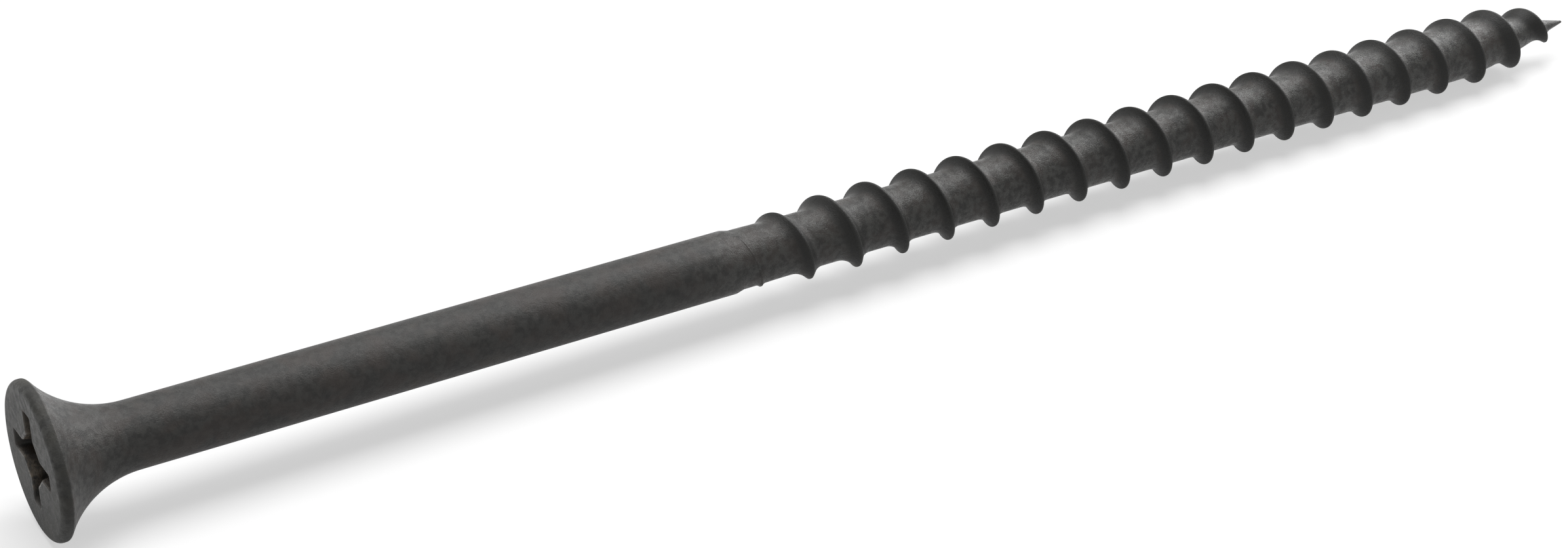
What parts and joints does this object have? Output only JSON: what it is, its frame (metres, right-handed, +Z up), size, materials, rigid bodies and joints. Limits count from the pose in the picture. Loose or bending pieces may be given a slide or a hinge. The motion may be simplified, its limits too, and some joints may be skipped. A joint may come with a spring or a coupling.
{
  "type": "drywall screw",
  "caption": "Long drywall screw with a flared bugle head, cross recess, plain upper shank and coarse right-hand thread running to a needle point.",
  "frame": {"origin": "middle of the rectangle that the screw covers as it lies on a table, at the table's height", "axes": "+X along the screw from head to tip as it lies, +Z up; the screw's own axis falls towards the tip by 1.2 degrees, because it rests on the head's rim and on a crest of the thread near the point"},
  "size_m": [0.102, 0.0084, 0.0084],
  "materials": {
    "phosphated_steel": "satin"
  },
  "bodies": {
    "root": {"drywall_screw": "phosphated_steel"}
  },
  "joints": []
}
